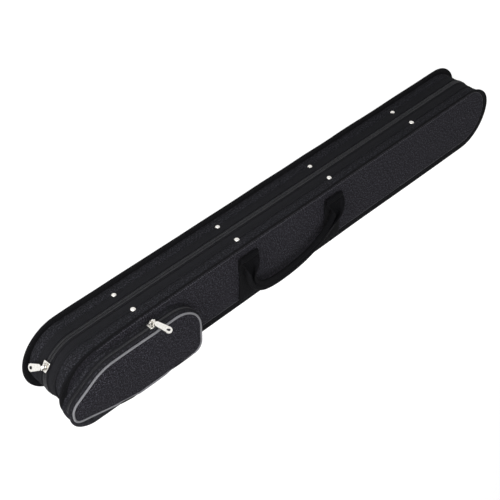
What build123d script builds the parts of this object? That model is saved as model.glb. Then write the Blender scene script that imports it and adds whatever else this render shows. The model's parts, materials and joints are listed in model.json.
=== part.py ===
from build123d import *
import math
import os

# A soft zipped case for cello bows, lying on its back panel.
# X runs along the case, the zip side faces -Y, the fabric hinge is on +Y, the handle is on top (+Z).
# Everything is in millimetres. The origin is the middle of the back panel's underside.

# Overall
case_length = 800.0
case_width = 104.0
shell_depth = 33.0
shell_gap = 0.3
running_gap = 0.3

# Layers of one shell, from the outside in
cover_thickness = 1.0
board_thickness = 5.0
lining_thickness = 1.2
wall_inset = 0.6

# Edge binding round the two large panels
binding_reach = 9.0
binding_thickness = 3.2
binding_round = 1.2
zip_side_reach = 1.5

# Main zip, seen square on to the wall of the case
tape_thickness = 0.8
tape_width = 17.0
coil_width = 3.0
coil_height = 1.6
zip_wrap_deg = 60.0
end_stop_length = 4.0
end_stop_height = 2.4

# Fabric hinge
hinge_tape_thickness = 0.5
hinge_tape_width = 18.0
hinge_end_margin = 6.0

# Rivets through the zip side wall
rivet_count = 4
rivet_pitch = 170.0
rivet_offset = 16.5
rivet_head_diameter = 7.0
rivet_head_height = 1.6
rivet_shank_diameter = 3.0
rivet_grip = 4.0

# Bow holders riveted inside the zip side wall
holder_length = 24.0
holder_depth = 13.0
holder_above_rivet = 1.6
holder_corner_radius = 2.5
rest_notch_width = 10.0
rest_notch_depth = 7.0
rest_depth = 24.0
button_length = 17.0
button_tail = 5.0
button_width = 9.0
button_thickness = 3.0
button_pin_diameter = 4.0
button_pin_head = 7.0
button_pin_head_height = 1.2
button_bore_gap = 0.05

# Slotted block that takes the bow heads
head_block_length = 26.0
head_block_height = 14.0
head_slot_width = 13.0
head_slot_pitch = 34.0
head_slot_depth = 9.0
head_block_from_end = 30.0
head_block_round = 2.0

# Sliders and pulls
slider_length = 13.0
slider_front_width = 10.0
slider_back_width = 7.0
slider_plate = 1.8
slider_shoulder = 2.3
slider_corner_radius = 1.2
slider_edge_round = 0.5
bridge_length = 10.0
bridge_width = 1.8
bridge_opening = 2.8
bridge_bar = 1.6
pull_length = 25.5
pull_neck_width = 7.4
pull_end_width = 9.6
pull_thickness = 1.4
pull_eye_bore = 4.2
pull_eye_wall = 1.0
pull_eye_width = 2.0
pull_shoulder_length = 2.5
pull_hole_length = 4.8
pull_hole_width = 4.2
pull_hole_margin = 2.2
main_slider_deg = 30.0
main_pull_skew_deg = 33.0
main_pull_lean_deg = 4.0
pocket_pull_skew_deg = 22.0
pocket_pull_lean_deg = 15.0

# Zipped pocket on the lid, at the +X end
pocket_far_x = 195.5
pocket_near_x = 396.0
pocket_zip_y = -29.5
pocket_hinge_y = 49.0
pocket_depth = 20.0
pocket_wall = 1.2
pocket_slope_y = 4.5
pocket_slope_x = 349.0
pocket_far_zip_radius = 42.0
pocket_far_hinge_radius = 16.0
pocket_near_hinge_radius = 34.0
pocket_slope_radius = 18.0
pocket_top_radius = 60.0
piping_diameter = 3.0
pocket_coil_width = 5.0
pocket_coil_height = 1.2
pocket_slider_x = 265.0

# Webbing handle on the lid
strap_width = 31.0
strap_thickness = 2.0
strap_fold_diameter = 6.0
strap_near_x = 100.0
strap_far_x = -57.5
strap_fold_y = -27.0
strap_hinge_margin = 3.0
loop_width = 18.0
loop_thickness = 5.0
loop_tab_thickness = 2.4
loop_tab_length = 16.0
loop_rise_deg = 10.5
loop_reach = 61.0
loop_slack_x = 70.0
loop_slack_reach = 56.0
loop_corner_radius = 18.0

# Worked out sizes
body_length = case_length - 2 * binding_reach
body_width = case_width - 2 * binding_reach
wall_radius = body_width / 2
end_centre = case_length / 2 - case_width / 2
split_z = shell_depth
top_z = 2 * shell_depth
inner_inset = cover_thickness + board_thickness + lining_thickness
tape_radius = wall_radius + tape_thickness
floor_z = inner_inset
wall_top = split_z - shell_gap / 2
inner_wall_y = -(wall_radius - inner_inset)
rivet_z = split_z - tape_width
holder_height = rivet_z + holder_above_rivet - floor_z
rivet_depth = tape_thickness + inner_inset + rivet_grip
rivet_places = [rivet_offset + rivet_pitch * (i - (rivet_count - 1) / 2) for i in range(rivet_count)]

os.makedirs("parts", exist_ok=True)


def save(shape, name):
    export_step(shape, f"parts/{name}.step")


def mirrored(shape):
    """The same piece in the other shell, mirrored about the plane where the shells meet."""
    return mirror(shape, Plane.XY.offset(split_z))


def slab(length, width, low, high):
    """A flat stadium-shaped slab between two heights."""
    return Pos(0, 0, low) * extrude(SlotOverall(length, width), high - low)


def ring(outside, inside, low, high):
    """A stadium-shaped wall, given how far its faces lie inside the wall of the case."""
    outer = slab(body_length - 2 * outside, body_width - 2 * outside, low, high)
    inner = slab(body_length - 2 * inside, body_width - 2 * inside, low, high)
    return outer - inner


def zip_sector(low, high):
    """The block of space that the zip runs through: the zip side and both ends, up to the end stops."""
    reach = case_length
    slope = math.radians(zip_wrap_deg)
    far = case_width
    outline = Polyline(
        (-reach, -far),
        (reach, -far),
        (reach, far * 2),
        (end_centre + far * 2 / math.tan(slope), far * 2),
        (end_centre, 0),
        (-end_centre, 0),
        (-end_centre - far * 2 / math.tan(slope), far * 2),
        (-reach, far * 2),
        (-reach, -far),
    )
    return Pos(0, 0, low) * extrude(make_face(outline), high - low)


# Shell pieces


def cover_panel():
    return slab(body_length, body_width, 0, cover_thickness)


def foam_board():
    inset = 2 * cover_thickness
    size = (body_length - inset, body_width - inset)
    return slab(*size, cover_thickness, cover_thickness + board_thickness)


def wall_foam():
    low = cover_thickness + board_thickness
    return ring(cover_thickness, cover_thickness + board_thickness, low, wall_top - wall_inset)


def gusset_fabric():
    return ring(0, cover_thickness, cover_thickness, wall_top)


def lining():
    """Plush tray: a floor on the board and a skirt up the wall, as one sewn piece."""
    inset = cover_thickness + board_thickness
    size = (body_length - 2 * inset, body_width - 2 * inset)
    floor = slab(*size, inset, inset + lining_thickness)
    skirt = ring(inset, inner_inset, inset, wall_top - wall_inset)
    return floor + skirt


def rounded_band(outline, hole, low, high):
    """A flat band between two outlines with its outer rim rounded over."""
    plate = Pos(0, 0, low) * extrude(outline, high - low)
    rim = plate.edges().group_by(Axis.Z)[0] + plate.edges().group_by(Axis.Z)[-1]
    plate = fillet(rim, binding_round)
    return plate - Pos(0, 0, low) * extrude(hole, high - low)


def base_binding_solid():
    outline = SlotOverall(case_length, case_width)
    return rounded_band(outline, SlotOverall(body_length, body_width), 0, binding_thickness)


def lid_outline():
    """Full reach on the hinge side and the ends, tapering to a narrow edge along the zip side."""
    low = wall_radius + zip_side_reach
    half = case_width / 2
    lines = [
        Line((-end_centre, -low), (end_centre, -low)),
        EllipticalCenterArc((end_centre, 0), half, low, start_angle=-90, arc_size=90),
        CenterArc((end_centre, 0), half, 0, 90),
        Line((end_centre, half), (-end_centre, half)),
        CenterArc((-end_centre, 0), half, 90, 90),
        EllipticalCenterArc((-end_centre, 0), half, low, start_angle=180, arc_size=90),
    ]
    return make_face(lines)


def lid_binding_solid():
    hole = SlotOverall(body_length, body_width)
    return rounded_band(lid_outline(), hole, top_z - binding_thickness, top_z)


# Main zip and fabric hinge


def zip_tape():
    band = ring(-tape_thickness, 0, split_z - tape_width, wall_top)
    return band & zip_sector(0, top_z)


def zip_coil():
    band = ring(-tape_thickness - coil_height, -tape_thickness, wall_top - coil_width, wall_top)
    return band & zip_sector(0, top_z)


def end_stop(side):
    """A pressed metal stop over the end of one coil. It sits just past the last coil turn."""
    width = coil_width - running_gap
    stop = Box(end_stop_height, end_stop_length, width, align=(Align.MIN, Align.MIN, Align.MAX))
    stop = fillet(stop.edges().filter_by(Axis.Z), end_stop_height / 4)
    placed = Pos(end_centre, 0, wall_top) * Rot(0, 0, zip_wrap_deg) * Pos(wall_radius + running_gap, 0, 0) * stop
    return placed if side > 0 else mirror(placed, Plane.YZ)


def hinge_leaf():
    length = 2 * (end_centre - hinge_end_margin)
    leaf = Box(length, hinge_tape_thickness, hinge_tape_width, align=(Align.CENTER, Align.MIN, Align.MAX))
    return Pos(0, wall_radius, wall_top) * leaf


# Rivets and bow holders


def rivet(x):
    """A domed head on the zip tape and a shank through the wall into the holder behind it."""
    head_radius = rivet_head_diameter / 2
    ball = (head_radius**2 + rivet_head_height**2) / (2 * rivet_head_height)
    head = Pos(0, 0, rivet_head_height - ball) * Sphere(ball)
    head &= Cylinder(head_radius, rivet_head_height, align=(Align.CENTER, Align.CENTER, Align.MIN))
    shank = Cylinder(rivet_shank_diameter / 2, rivet_depth, align=(Align.CENTER, Align.CENTER, Align.MAX))
    return Pos(x, -tape_radius, rivet_z) * Rot(90, 0, 0) * (head + shank)


def rivet_hole(x):
    hole = Cylinder(rivet_shank_diameter / 2, rivet_depth, align=(Align.CENTER, Align.CENTER, Align.MAX))
    return Pos(x, -tape_radius, rivet_z) * Rot(90, 0, 0) * hole


def drilled(shape):
    for x in rivet_places:
        shape -= rivet_hole(x)
    return shape


def holder_y():
    return inner_wall_y + holder_depth / 2


def clip_block(x):
    """A moulded block on the wall that carries a turn button."""
    block = Box(holder_length, holder_depth, holder_height, align=(Align.CENTER, Align.CENTER, Align.MIN))
    block = fillet(block.edges().filter_by(Axis.Z).group_by(Axis.Y)[-1], holder_corner_radius)
    return Pos(x, holder_y(), floor_z) * block - button_pin_hole(x)


def stick_rest(x):
    """A moulded rest with an open notch that the bow stick lies in."""
    rest = Box(holder_length, rest_depth, holder_height, align=(Align.CENTER, Align.MIN, Align.MIN))
    rest = fillet(rest.edges().filter_by(Axis.Z).group_by(Axis.Y)[-1], holder_corner_radius)
    notch_low = holder_height - rest_notch_depth + rest_notch_width / 2
    notch = Pos(0, 0, notch_low) * Rot(0, 90, 0) * Cylinder(rest_notch_width / 2, holder_length)
    mouth = Box(holder_length, rest_notch_width, holder_height, align=(Align.CENTER, Align.CENTER, Align.MIN))
    notch += Pos(0, 0, notch_low) * mouth
    stick_y = rest_depth - rest_notch_width
    return Pos(x, inner_wall_y, floor_z) * (rest - Pos(0, stick_y, 0) * notch)


def button_pin(x):
    """A headed pivot pin that the turn button swings on, seated in its block."""
    top = floor_z + holder_height
    stem_length = holder_height / 2 + button_thickness + 2 * running_gap
    stem = Cylinder(button_pin_diameter / 2, stem_length, align=(Align.CENTER, Align.CENTER, Align.MIN))
    head = Cylinder(button_pin_head / 2, button_pin_head_height, align=(Align.CENTER, Align.CENTER, Align.MIN))
    head = fillet(head.edges().group_by(Axis.Z)[-1], button_pin_head_height / 3)
    pin = Pos(0, 0, top - holder_height / 2) * stem
    pin += Pos(0, 0, top + button_thickness + 2 * running_gap) * head
    return Pos(x, holder_y(), 0) * pin


def button_pin_hole(x):
    hole = Cylinder(button_pin_diameter / 2, holder_height / 2, align=(Align.CENTER, Align.CENTER, Align.MIN))
    return Pos(x, holder_y(), floor_z + holder_height / 2) * hole


def turn_button(x):
    """A flat bar that turns over the bow stick to hold it down."""
    length = button_length + button_tail
    bar = extrude(SlotOverall(length, button_width), button_thickness)
    bar = fillet(bar.edges().group_by(Axis.Z)[-1], button_thickness / 4)
    bar = Pos(0, (button_length - button_tail) / 2, 0) * Rot(0, 0, 90) * bar
    bore = button_pin_diameter / 2 + button_bore_gap
    bar -= Cylinder(bore, button_thickness, align=(Align.CENTER, Align.CENTER, Align.MIN))
    return Pos(x, holder_y(), floor_z + holder_height + running_gap) * bar


def head_block():
    """A plush-covered foam block across the far end, with a slot for each bow head."""
    inner_width = 2 * abs(inner_wall_y)
    inner_end = -(end_centre + abs(inner_wall_y))
    low_x = inner_end + head_block_from_end
    block = Box(head_block_length, inner_width, head_block_height, align=(Align.MIN, Align.CENTER, Align.MIN))
    block = fillet(block.edges().group_by(Axis.Z)[-1], head_block_round)
    for side in (-1, 1):
        slot = Box(head_block_length, head_slot_width, head_slot_depth, align=(Align.MIN, Align.CENTER, Align.MAX))
        block -= Pos(0, side * head_slot_pitch / 2, head_block_height) * slot
    inside = slab(2 * (end_centre + abs(inner_wall_y)), inner_width, floor_z, floor_z + head_block_height)
    return (Pos(low_x, 0, floor_z) * block) & inside


# Sliders and pulls, drawn flat: X along the zip, Y across it, Z out from the tape


def slider_body(coil_top):
    """A tapered plate over the coils with an arched bridge for the pull."""
    half = slider_length / 2
    outline = Polyline(
        (-half, -slider_back_width / 2),
        (slider_shoulder, -slider_front_width / 2),
        (half, -slider_front_width / 2),
        (half, slider_front_width / 2),
        (slider_shoulder, slider_front_width / 2),
        (-half, slider_back_width / 2),
        (-half, -slider_back_width / 2),
    )
    plate = extrude(make_face(outline), slider_plate)
    plate = fillet(plate.edges().filter_by(Axis.Z), slider_corner_radius)
    plate = fillet(plate.edges().group_by(Axis.Z)[-1], slider_edge_round)
    height = bridge_opening + bridge_bar
    bridge = Box(bridge_length, bridge_width, height, align=(Align.CENTER, Align.CENTER, Align.MIN))
    bridge = fillet(bridge.edges().filter_by(Axis.Y).group_by(Axis.Z)[-1], bridge_bar)
    gap_length = bridge_length - 2 * bridge_bar
    gap = Box(gap_length, bridge_width, bridge_opening, align=(Align.CENTER, Align.CENTER, Align.MIN))
    bridge -= gap
    return Pos(0, 0, coil_top) * (plate + Pos(0, 0, slider_plate) * bridge)


def bar_height(coil_top):
    return coil_top + slider_plate + bridge_opening + bridge_bar / 2


def pull_tab():
    """A flat die-cast pull: an eye round the bridge bar, a neck that widens to a round end with a slot.

    It points along +Y from the eye, which lies on the X axis, and it lies flat in the XY plane.
    """
    end_radius = pull_end_width / 2
    outer = pull_eye_bore / 2 + pull_eye_wall
    centre = pull_length - end_radius
    neck = pull_neck_width / 2
    eye = Rot(0, 90, 0) * (Cylinder(outer, pull_eye_width) - Cylinder(pull_eye_bore / 2, pull_eye_width))
    start = pull_eye_bore / 2 + pull_eye_wall / 2
    shoulder = start + pull_shoulder_length
    stem = Polyline(
        (-pull_eye_width / 2, start),
        (pull_eye_width / 2, start),
        (neck, shoulder),
        (end_radius, centre),
        (-end_radius, centre),
        (-neck, shoulder),
        (-pull_eye_width / 2, start),
    )
    plate = extrude(make_face(stem), pull_thickness / 2, both=True)
    plate += Pos(0, centre, 0) * Cylinder(end_radius, pull_thickness)
    hole_y = pull_length - pull_hole_margin - pull_hole_width / 2
    hole = Rot(0, 0, 90) * SlotOverall(pull_hole_length, pull_hole_width)
    plate -= Pos(0, hole_y - (pull_hole_length - pull_hole_width) / 2, 0) * extrude(hole, pull_thickness, both=True)
    return plate + eye


def main_slider_place():
    """Flat slider to the near end wall: X along the zip, Y down the wall, Z outwards."""
    spin = Rot(0, 0, -main_slider_deg)
    facing = Location(Plane(origin=(wall_radius, 0, 0), x_dir=(0, -1, 0), z_dir=(1, 0, 0)))
    return Pos(end_centre, 0, split_z) * spin * facing


def pocket_slider_place():
    """Flat slider to the pocket wall: X along the zip, Y up the wall, Z outwards."""
    middle = (pocket_slider_x, pocket_zip_y, pocket_zip_z)
    return Location(Plane(origin=middle, x_dir=(1, 0, 0), z_dir=(0, -1, 0)))


main_coil_top = tape_thickness + coil_height + running_gap
pocket_coil_top = pocket_coil_height + running_gap
pocket_zip_z = top_z + pocket_depth / 2


def main_slider():
    return main_slider_place() * slider_body(main_coil_top)


def main_pull():
    hang = Rot(0, 0, main_pull_skew_deg) * Rot(-main_pull_lean_deg, 0, 0) * pull_tab()
    return main_slider_place() * Pos(0, 0, bar_height(main_coil_top)) * hang


def pocket_slider():
    return pocket_slider_place() * slider_body(pocket_coil_top)


def pocket_pull():
    lean = Rot(0, 0, pocket_pull_skew_deg) * Rot(-pocket_pull_lean_deg, 0, 0) * pull_tab()
    return pocket_slider_place() * Pos(0, 0, bar_height(pocket_coil_top)) * lean


# Pocket


def pocket_outline():
    """Plan of the pocket, with a long slope at its near zip side corner."""
    corners = [
        (pocket_far_x, pocket_zip_y, pocket_far_zip_radius),
        (pocket_slope_x, pocket_zip_y, pocket_top_radius),
        (pocket_near_x, pocket_slope_y, pocket_slope_radius),
        (pocket_near_x, pocket_hinge_y, pocket_near_hinge_radius),
        (pocket_far_x, pocket_hinge_y, pocket_far_hinge_radius),
    ]
    places = [(x, y) for x, y, radius in corners]
    face = make_face(Polyline(*places, places[0]))
    for x, y, radius in corners:
        corner = face.vertices().sort_by_distance((x, y, 0))[0]
        face = fillet(corner, radius)
    return face


def pocket_ring(outset, inset, low, high):
    outer = offset(pocket_outline(), outset) if outset else pocket_outline()
    inner = offset(pocket_outline(), -inset) if inset else pocket_outline()
    band = extrude(outer, high - low) - extrude(inner, high - low)
    return Pos(0, 0, low) * band


def pocket_wall_solid():
    return pocket_ring(0, pocket_wall, top_z, top_z + pocket_depth - pocket_wall)


def pocket_face():
    low = top_z + pocket_depth - pocket_wall
    return Pos(0, 0, low) * extrude(pocket_outline(), pocket_wall)


def pocket_piping():
    """Round cord sewn outside the seam between the pocket's face and its wall."""
    half = piping_diameter / 2
    route = offset(pocket_outline(), half).face().outer_wire()
    section = Plane(origin=route @ 0, z_dir=route % 0) * Circle(half)
    return Pos(0, 0, top_z + pocket_depth - half) * sweep(section, path=route)


def pocket_zip_space():
    """The zip covers the pocket's near end, its zip side and its far end, and leaves out the hinge side."""
    low_y = pocket_zip_y - piping_diameter
    high_y = pocket_hinge_y - pocket_near_hinge_radius
    length = pocket_near_x - pocket_far_x + 2 * piping_diameter
    middle = (pocket_near_x + pocket_far_x) / 2
    block = Box(length, high_y - low_y, pocket_depth, align=(Align.CENTER, Align.MIN, Align.MIN))
    return Pos(middle, low_y, top_z) * block


def pocket_zip_coil():
    half = pocket_coil_width / 2
    band = pocket_ring(pocket_coil_height, 0, pocket_zip_z - half, pocket_zip_z + half)
    return band & pocket_zip_space()


# Handle


def handle_strap(x):
    """Webbing sewn up the lid from the hinge side, ending in the fold that carries the loop."""
    length = wall_radius + binding_reach - strap_hinge_margin - strap_fold_y
    flat = Box(strap_width, length, strap_thickness, align=(Align.CENTER, Align.MIN, Align.MIN))
    fold = Rot(0, 90, 0) * Cylinder(strap_fold_diameter / 2, strap_width)
    strap = Pos(0, strap_fold_y, 0) * flat
    strap += Pos(0, strap_fold_y, strap_fold_diameter / 2) * fold
    return Pos(x, 0, top_z) * strap


def loop_axis_z():
    return top_z + strap_fold_diameter / 2


def handle_loop():
    """One length of webbing between the two folds, drawn flat, narrowed at the grip, then tilted up."""
    near, far = strap_near_x, strap_far_x
    start = strap_fold_diameter / 2 + running_gap
    route = FilletPolyline(
        (near, start),
        (near, loop_reach - loop_corner_radius / 2),
        (loop_slack_x, loop_reach),
        (0, loop_slack_reach),
        (far, loop_reach / 2),
        (far, start),
        radius=loop_corner_radius,
    )
    band = trace(route, loop_width)
    solid = extrude(band, loop_thickness / 2, both=True)
    cut = Box(case_length, loop_tab_length, 2 * loop_thickness, align=(Align.CENTER, Align.MIN, Align.CENTER))
    solid -= cut
    for x in (near, far):
        tab = Box(strap_width, loop_tab_length, loop_tab_thickness, align=(Align.CENTER, Align.MIN, Align.CENTER))
        solid += Pos(x, start, 0) * tab
    return Pos(0, strap_fold_y, loop_axis_z()) * Rot(loop_rise_deg, 0, 0) * solid


# Writing the pieces

button_places = [rivet_places[0], rivet_places[-1]]
rest_places = rivet_places[1:-1]

shell_pieces = {
    "cover_panel": cover_panel(),
    "foam_board": foam_board(),
    "wall_foam": drilled(wall_foam()),
    "gusset_fabric": drilled(gusset_fabric()),
    "lining": drilled(lining()),
    "zip_tape": drilled(zip_tape()),
    "zip_coil": zip_coil(),
    "zip_end_stops": Compound(children=[end_stop(1), end_stop(-1)]),
    "hinge_tape": hinge_leaf(),
    "rivets": Compound(children=[rivet(x) for x in rivet_places]),
    "clip_blocks": Compound(children=[drilled(clip_block(x)) for x in button_places]),
    "stick_rests": Compound(children=[drilled(stick_rest(x)) for x in rest_places]),
    "button_pins": Compound(children=[button_pin(x) for x in button_places]),
    "head_block": head_block(),
    "turn_button_far": turn_button(button_places[0]),
    "turn_button_near": turn_button(button_places[-1]),
}
for name, piece in shell_pieces.items():
    save(piece, f"base_{name}")
    save(mirrored(piece), f"lid_{name}")

save(base_binding_solid(), "base_binding")
save(lid_binding_solid(), "lid_binding")
save(main_slider(), "main_slider")
save(main_pull(), "main_pull")
save(pocket_wall_solid(), "pocket_wall")
save(pocket_face(), "pocket_face")
save(pocket_piping(), "pocket_piping")
save(pocket_zip_coil(), "pocket_zip_coil")
save(pocket_slider(), "pocket_slider")
save(pocket_pull(), "pocket_pull")
save(handle_strap(strap_near_x), "handle_strap_near")
save(handle_strap(strap_far_x), "handle_strap_far")
save(handle_loop(), "handle_loop")
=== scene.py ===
"""A soft zipped case for cello bows, dressed in cloth, binding, zips and webbing round its CAD frame.

The case lies on its back panel. X runs along it, the zip side faces -Y, the cloth hinge is on +Y, and the
handle and the pocket are on top. The photograph shows it standing on its hinge side, so the camera is rolled.
"""

import json
import math

import bmesh
import bpy
import numpy as np
from mathutils import Matrix, Vector


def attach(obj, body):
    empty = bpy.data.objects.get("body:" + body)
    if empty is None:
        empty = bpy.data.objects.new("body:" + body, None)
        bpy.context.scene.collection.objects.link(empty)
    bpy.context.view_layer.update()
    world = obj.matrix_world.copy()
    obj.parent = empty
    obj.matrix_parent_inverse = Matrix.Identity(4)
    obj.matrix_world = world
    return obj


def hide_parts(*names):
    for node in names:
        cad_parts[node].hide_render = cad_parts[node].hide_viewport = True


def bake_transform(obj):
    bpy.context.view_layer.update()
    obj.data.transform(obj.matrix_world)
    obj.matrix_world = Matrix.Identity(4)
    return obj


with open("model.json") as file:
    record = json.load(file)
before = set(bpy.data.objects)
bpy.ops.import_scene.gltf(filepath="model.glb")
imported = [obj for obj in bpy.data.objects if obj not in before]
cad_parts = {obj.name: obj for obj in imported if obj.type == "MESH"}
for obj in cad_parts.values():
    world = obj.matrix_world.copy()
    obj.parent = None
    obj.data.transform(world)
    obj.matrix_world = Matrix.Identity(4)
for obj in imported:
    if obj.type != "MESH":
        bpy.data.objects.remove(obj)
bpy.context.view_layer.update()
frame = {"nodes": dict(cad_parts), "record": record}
MM = 0.001


def add_object(name, data):
    """A new object in the scene."""
    made = bpy.data.objects.new(name, data)
    bpy.context.scene.collection.objects.link(made)
    return made


# Camera. A long lens looks down at the zip side and the pocket end, rolled so that the hinge side is at the
# bottom.
camera_data = bpy.data.cameras.new("camera")
camera_data.lens = 88.85
camera_data.sensor_width = 36.0
camera = add_object("camera", camera_data)
camera_place = Vector((0.8992, -1.0508, 0.8568))
camera_right = Vector((-0.7009, 0.0, 0.7133))
camera_up = Vector((-0.4781, -0.7421, -0.4698))
camera_back = Vector((0.5293, -0.6703, 0.5201))
camera_axes = Matrix((camera_right, camera_up, camera_back)).transposed().to_4x4()
camera.matrix_world = Matrix.Translation(camera_place) @ camera_axes
bpy.context.scene.camera = camera


# Materials are node trees. These turn written colours into linear ones and put nodes in a tree.
def linear(code):
    """An sRGB hex colour as linear red, green, blue and alpha."""
    parts = [int(code[i : i + 2], 16) / 255 for i in (0, 2, 4)]
    return tuple(((c + 0.055) / 1.055) ** 2.4 if c > 0.04045 else c / 12.92 for c in parts) + (1.0,)


def tinted(code, share):
    """The same colour, darker for a share under 1 and paler for one over it."""
    return tuple(c * share for c in linear(code)[:3]) + (1.0,)


def add_node(tree, kind, settings=None, **links):
    """One node of a tree: its settings, then its inputs, each a value or another node's output."""
    node = tree.nodes.new(kind)
    for key, value in (settings or {}).items():
        setattr(node, key, value)
    for key, value in links.items():
        names = [s.name.replace(" ", "_") for s in node.inputs]
        socket = node.inputs[int(key[1:])] if key[1:].isdigit() else node.inputs[names.index(key)]
        if isinstance(value, bpy.types.NodeSocket):
            tree.links.new(value, socket)
        else:
            socket.default_value = value
    return node


def mixed(tree, share, first, second):
    """The output of a node that mixes two colours by a share of the second."""
    return add_node(tree, "ShaderNodeMix", {"data_type": "RGBA"}, _0=share, _6=first, _7=second).outputs[2]


def add_bump(tree, surface, strength, distance, height):
    """Relief on a surface, from a height that some node puts out."""
    bump = add_node(tree, "ShaderNodeBump", Strength=strength, Distance=distance, Height=height)
    tree.links.new(bump.outputs[0], surface.inputs["Normal"])


def new_material(name, roughness, sheen=0.0, metallic=0.0, gloss=0.5):
    """A material with a Principled surface, and its tree.

    Gloss is the strength of its clear reflection: 0 for none, 0.5 for a common plastic.
    """
    material = bpy.data.materials.new(name)
    material.use_nodes = True
    tree = material.node_tree
    surface = tree.nodes["Principled BSDF"]
    surface.inputs["Roughness"].default_value = roughness
    surface.inputs["Metallic"].default_value = metallic
    surface.inputs["Sheen Weight"].default_value = sheen
    surface.inputs["Sheen Roughness"].default_value = 0.45
    surface.inputs["Specular IOR Level"].default_value = gloss
    return material, tree, surface


def seen_directly(tree):
    """One for camera, glossy and transmission rays, and zero for the rest."""
    rays = add_node(tree, "ShaderNodeLightPath").outputs
    larger = {"operation": "MAXIMUM"}
    seen = add_node(tree, "ShaderNodeMath", larger, _0=rays["Is Camera Ray"], _1=rays["Is Glossy Ray"])
    seen = add_node(tree, "ShaderNodeMath", larger, _0=seen.outputs[0], _1=rays["Is Transmission Ray"])
    return seen.outputs[0]


# Studio. A white sweep and three broad soft lamps; the case rests on the floor and throws a faint soft
# shadow.
floor_mesh = bpy.data.meshes.new("studio_floor")
floor_half = 12.0
floor_mesh.from_pydata(
    [(x, y, 0.0) for x, y in ((-1, -1), (1, -1), (1, 1), (-1, 1))], [], [(0, 1, 2, 3)]
)
floor_mesh.transform(Matrix.Scale(floor_half, 4))
floor = add_object("studio_floor", floor_mesh)

floor_paint, tree, surface = new_material("white_paper_sweep", 0.9)
# The paper is nearly white by itself to the camera and in reflections, and the rest of its brightness is
# light that falls on it, so it still takes the shadow.
surface.inputs["Specular IOR Level"].default_value = 0.0
surface.inputs["Base Color"].default_value = (0.45, 0.45, 0.45, 1.0)
surface.inputs["Emission Color"].default_value = (1.0, 1.0, 1.0, 1.0)
own_white = 0.84
glow = add_node(tree, "ShaderNodeMath", {"operation": "MULTIPLY"}, _0=seen_directly(tree), _1=own_white)
tree.links.new(glow.outputs[0], surface.inputs["Emission Strength"])
floor_mesh.materials.append(floor_paint)

world = bpy.data.worlds.new("white_room")
world.use_nodes = True
tree = world.node_tree
background = tree.nodes["Background"]
background.inputs["Color"].default_value = (1.0, 1.0, 1.0, 1.0)
room_light = 0.25
strength = add_node(tree, "ShaderNodeMapRange", _0=seen_directly(tree), _3=room_light, _4=1.0)
tree.links.new(strength.outputs[0], background.inputs["Strength"])
bpy.context.scene.world = world
bpy.context.scene.view_settings.view_transform = "Standard"

for lamp_name, place, size, power in (
    ("top_softbox", (0.55, -0.35, 1.35), 1.2, 10.0),
    ("zip_side_softbox", (0.9, -1.4, 0.8), 1.0, 10.5),
    ("near_end_softbox", (1.5, -0.7, 0.3), 0.8, 17.0),
):
    lamp_data = bpy.data.lights.new(lamp_name, "AREA")
    lamp_data.size = size
    lamp_data.energy = power
    lamp = add_object(lamp_name, lamp_data)
    lamp.location = place
    lamp.rotation_euler = (-Vector(place)).to_track_quat("-Z", "Y").to_euler()


# Cloth of the case. Heavy black oxford, a plain weave of thick polyester yarn with a slight violet cast,
# faintly glossy where the flat yarns catch the light. It covers the two panels, the gussets and the pocket.
wave_bands = 3.2  # what a wave texture draws in one unit at a scale of 1
yarn_relief = 0.8 * MM


def cloth_material(name, code, fleck_code, thread_mm, relief, roughness, sheen, gloss):
    """Woven cloth.

    Two crossed sets of yarns from the piece's own UV map, with uneven dye and paler flecks.
    """
    material, tree, surface = new_material(name, roughness, sheen, gloss=gloss)
    place = add_node(tree, "ShaderNodeUVMap", {"uv_map": "cloth"}).outputs[0]
    per_metre = 1.0 / (2 * thread_mm * MM)
    heights = []
    for direction in ("X", "Y"):
        wave = add_node(
            tree,
            "ShaderNodeTexWave",
            {"wave_type": "BANDS", "bands_direction": direction},
            Vector=place,
            Scale=per_metre / wave_bands,
            Distortion=1.6,
            Detail=2.0,
            Detail_Scale=1.5,
        )
        heights.append(wave.outputs["Fac"])
    weave = add_node(tree, "ShaderNodeMath", {"operation": "MULTIPLY"}, _0=heights[0], _1=heights[1])
    fleck_noise = add_node(
        tree, "ShaderNodeTexNoise", Vector=place, Scale=per_metre * 1.3, Detail=3.0, Roughness=0.75
    )
    wear_noise = add_node(tree, "ShaderNodeTexNoise", Vector=place, Scale=90.0, Detail=6.0, Roughness=0.65)
    fleck_ramp = add_node(tree, "ShaderNodeMapRange", _0=fleck_noise.outputs["Fac"], _1=0.48, _2=0.68, _4=0.6)
    worn = mixed(tree, wear_noise.outputs["Fac"], tinted(code, 0.6), tinted(code, 1.4))
    colour = mixed(tree, fleck_ramp.outputs[0], worn, linear(fleck_code))
    tree.links.new(colour, surface.inputs["Base Color"])
    height = add_node(
        tree, "ShaderNodeMath", {"operation": "ADD"}, _0=weave.outputs[0], _1=fleck_noise.outputs["Fac"]
    )
    add_bump(tree, surface, relief, yarn_relief, height.outputs[0])
    return material


# The real yarns are 0.6 mm apart. They are drawn 1.3 mm apart so that the weave shows in the render.
oxford = cloth_material("black_oxford_polyester", "1e1d21", "62616b", 1.3, 1.0, 0.7, 0.01, 0.02)
# The gussets and the pocket's wall take a copy of the oxford with darker flecks: painted shade on the walls.
shaded_gusset_oxford = cloth_material("black_oxford_gusset", "1f1f22", "54545b", 1.3, 1.0, 0.75, 0.01, 0.015)

panel_straight = 348.0
wall_radius = 43.0
split_z = 33.0
half_turn = math.pi * wall_radius
lap = 4 * panel_straight + 2 * half_turn


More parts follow.
